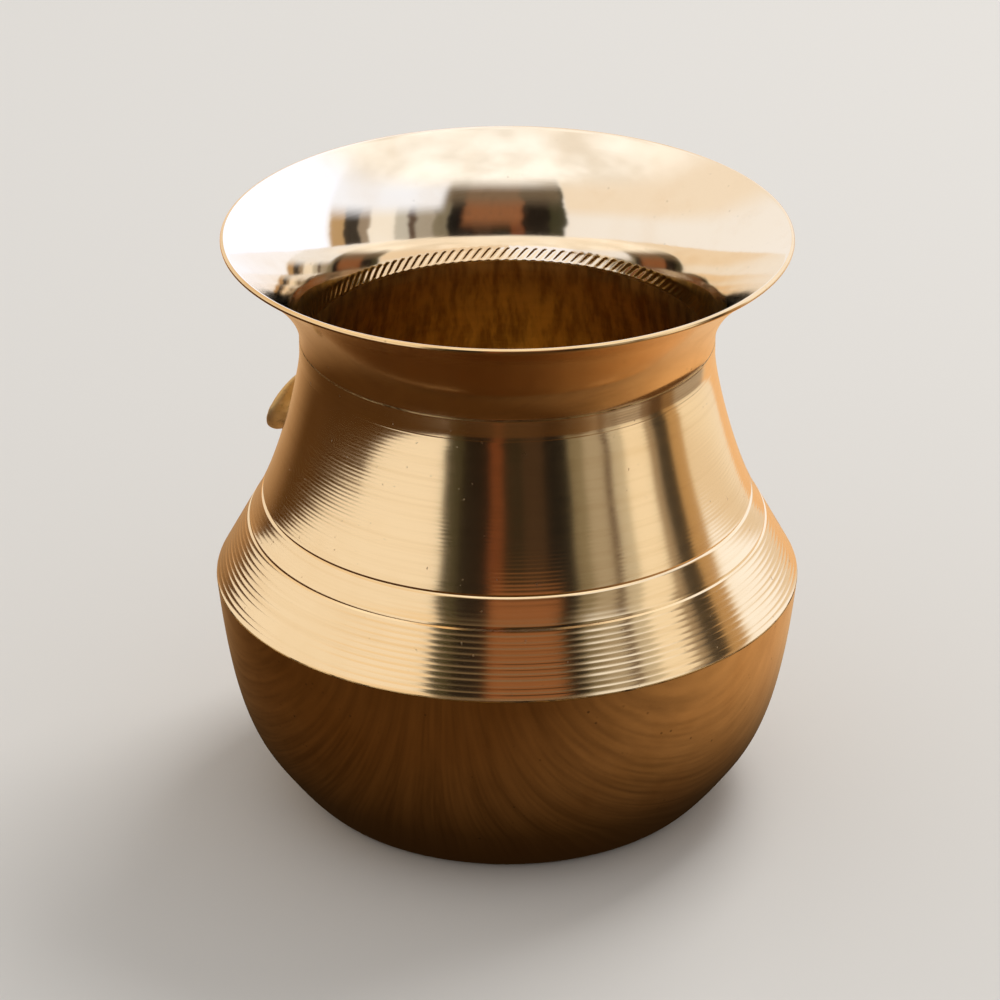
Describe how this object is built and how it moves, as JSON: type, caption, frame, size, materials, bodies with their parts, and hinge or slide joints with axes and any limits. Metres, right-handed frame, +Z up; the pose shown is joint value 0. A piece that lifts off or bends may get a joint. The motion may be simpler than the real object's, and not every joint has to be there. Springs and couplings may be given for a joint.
{
  "type": "brass kalash pot",
  "caption": "Spun brass water pot with a flared mouth, a narrow neck, a grooved shoulder, a belly ridge, a rounded bowl and a short spout.",
  "frame": {"origin": "centre of the flat base, on the surface the pot stands on", "axes": "+Z up along the pot's axis; the short spout points to -X and +Y, at the back left"},
  "size_m": [0.1, 0.1, 0.102],
  "materials": {
    "polished_brass": "mirror polished, with fine scratches",
    "turned_brass": "bright turned, with lathe lines",
    "cast_brass": "dull as cast",
    "braze_metal": "filed flush"
  },
  "bodies": {
    "root": {"mouth": "polished_brass", "neck_braze": "braze_metal", "shoulder": "turned_brass", "belly_braze": "braze_metal", "lower_bowl": "polished_brass", "spout": "cast_brass", "spout_braze": "braze_metal"}
  },
  "joints": []
}
